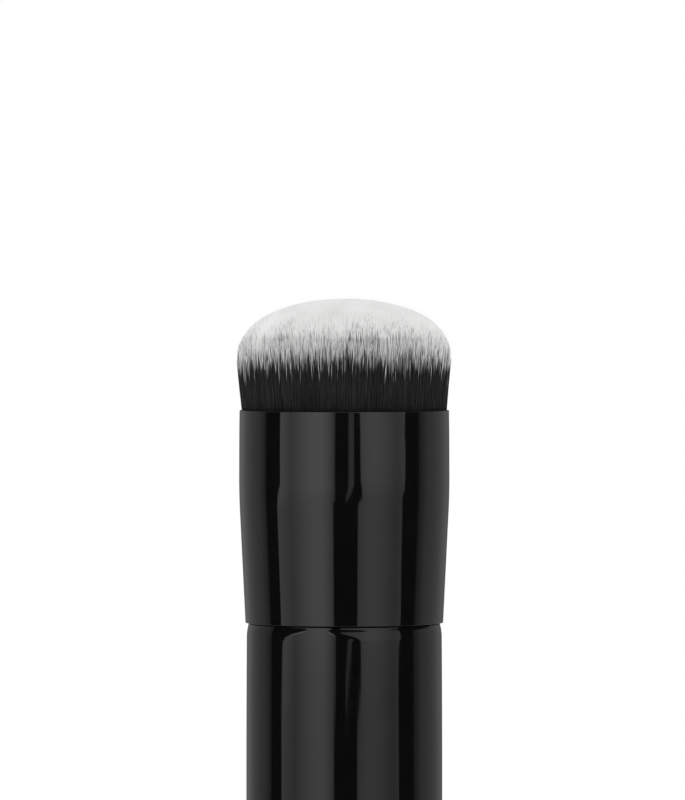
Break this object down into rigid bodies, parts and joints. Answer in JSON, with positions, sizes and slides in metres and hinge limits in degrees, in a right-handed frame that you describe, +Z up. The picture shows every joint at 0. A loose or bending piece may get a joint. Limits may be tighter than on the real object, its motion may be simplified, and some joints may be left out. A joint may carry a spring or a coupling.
{
  "type": "foundation brush",
  "caption": "Squat foundation brush: a dense domed bristle head with pale tips on a black base, held in a gloss black ferrule on a weighted gloss black barrel handle.",
  "frame": {"origin": "centre of the flat ring under the handle that the brush stands on", "axes": "+Z up the brush's own axis, from the base to the crown of the bristles; +X and +Y are free, because the brush is round"},
  "size_m": [0.0358, 0.0358, 0.1204],
  "materials": {
    "bristles": "matte",
    "knot_elastic": "matte",
    "root_resin": "gloss",
    "ferrule_lacquer": "gloss",
    "cured_glue": "satin",
    "insert_plastic": "satin",
    "handle_plastic": "gloss",
    "weight_steel": "satin",
    "pad_foam": "matte"
  },
  "bodies": {
    "root": {"bristles": "bristles", "knot_band": "knot_elastic", "resin_plug": "root_resin", "ferrule": "ferrule_lacquer", "ferrule_glue_band": "cured_glue", "tenon_insert": "insert_plastic", "handle_glue_band": "cured_glue", "handle": "handle_plastic", "balance_weight": "weight_steel", "weight_pad": "pad_foam"}
  },
  "joints": []
}
